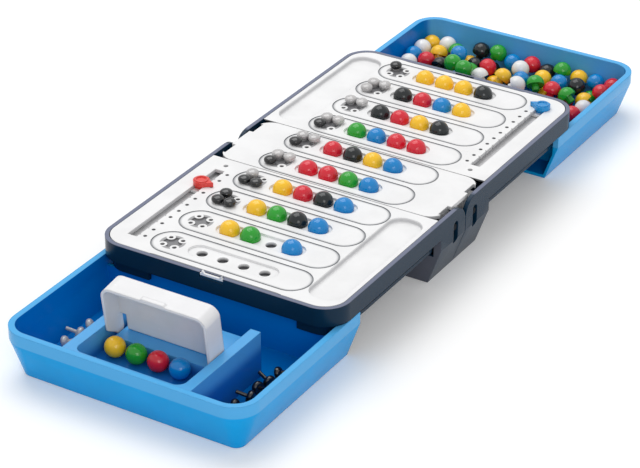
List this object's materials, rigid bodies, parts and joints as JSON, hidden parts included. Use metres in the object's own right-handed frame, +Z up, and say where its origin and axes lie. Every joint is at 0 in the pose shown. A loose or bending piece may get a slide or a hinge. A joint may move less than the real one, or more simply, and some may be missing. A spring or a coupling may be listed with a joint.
{
  "type": "folding peg game",
  "caption": "Travel code-breaking peg game, open flat: bevelled case halves, hinged centre panel, peg boards, score sliders, pulled-out drawers and a code shield.",
  "frame": {"origin": "centre of the footprint of the open case, on the surface it rests on, midway between the two case halves", "axes": "+Y along the length towards the drawer of spare pegs, +X across the width, with the score pin holes on the -X side, +Z up out of the playing boards"},
  "size_m": [0.138, 0.4108, 0.0505],
  "materials": {
    "navy_plastic": "satin",
    "white_plastic": "satin",
    "blue_plastic": "gloss",
    "light_blue_plastic": "gloss",
    "grey_plastic": "satin",
    "steel": "satin",
    "yellow_gloss": "gloss",
    "green_gloss": "gloss",
    "red_gloss": "gloss",
    "blue_gloss": "gloss",
    "black_gloss": "gloss",
    "white_gloss": "gloss"
  },
  "bodies": {
    "near_case": {"latch_hooks": "white_plastic", "near_black_pegs": "black_gloss", "near_black_score_pins": "black_gloss", "near_blue_pegs": "blue_gloss", "near_board": "white_plastic", "near_case": "navy_plastic", "near_green_pegs": "green_gloss", "near_red_pegs": "red_gloss", "near_screws": "steel", "near_white_score_pins": "white_gloss", "near_yellow_pegs": "yellow_gloss"},
    "centre_panel": {"centre_black_pegs": "black_gloss", "centre_black_score_pins": "black_gloss", "centre_blue_pegs": "blue_gloss", "centre_green_pegs": "green_gloss", "centre_panel": "white_plastic", "centre_red_pegs": "red_gloss", "centre_white_score_pins": "white_gloss", "centre_yellow_pegs": "yellow_gloss", "hinge_pins": "steel"},
    "far_case": {"far_black_pegs": "black_gloss", "far_black_score_pins": "black_gloss", "far_blue_pegs": "blue_gloss", "far_board": "white_plastic", "far_case": "navy_plastic", "far_green_pegs": "green_gloss", "far_red_pegs": "red_gloss", "far_screws": "steel", "far_white_score_pins": "white_gloss", "far_yellow_pegs": "yellow_gloss"},
    "near_drawer": {"code_tray": "light_blue_plastic", "near_drawer": "blue_plastic", "secret_blue_peg": "blue_gloss", "secret_green_peg": "green_gloss", "secret_red_peg": "red_gloss", "secret_yellow_peg": "yellow_gloss", "spare_black_pins": "black_gloss", "spare_white_pins": "white_gloss"},
    "far_drawer": {"far_drawer": "blue_plastic", "spare_black_pegs": "black_gloss", "spare_blue_pegs": "blue_gloss", "spare_green_pegs": "green_gloss", "spare_red_pegs": "red_gloss", "spare_white_pegs": "white_gloss", "spare_yellow_pegs": "yellow_gloss"},
    "code_shield": {"code_shield": "grey_plastic"},
    "near_score_knob": {"near_score_knob": "red_gloss", "near_knob_clip": "white_plastic"},
    "far_score_knob": {"far_score_knob": "blue_gloss", "far_knob_clip": "white_plastic"}
  },
  "joints": [
    {"name": "fold_near", "type": "hinge", "parent": "near_case", "child": "centre_panel", "pos_m": [0, -0.01, 0.0266], "axis": [1, 0, 0], "range_deg": [0, 78]},
    {"name": "fold_far", "type": "hinge", "parent": "centre_panel", "child": "far_case", "pos_m": [0, 0.01, 0.0266], "axis": [1, 0, 0], "range_deg": [0, 78]},
    {"name": "near_drawer_slide", "type": "slide", "parent": "near_case", "child": "near_drawer", "axis": [0, 1, 0], "range_m": [0, 0.036]},
    {"name": "far_drawer_slide", "type": "slide", "parent": "far_case", "child": "far_drawer", "axis": [0, -1, 0], "range_m": [0, 0.0784]},
    {"name": "shield_hinge", "type": "hinge", "parent": "near_drawer", "child": "code_shield", "pos_m": [0, -0.1671, 0.0226], "axis": [1, 0, 0], "range_deg": [0, 82]},
    {"name": "near_score_slide", "type": "slide", "parent": "near_case", "child": "near_score_knob", "axis": [0, 1, 0], "range_m": [-0.05856, 0.01464]},
    {"name": "far_score_slide", "type": "slide", "parent": "far_case", "child": "far_score_knob", "axis": [0, 1, 0], "range_m": [-0.0732, 0]}
  ],
  "couplings": [
    {"joint": "fold_far", "follows": "fold_near", "ratio": 1}
  ]
}
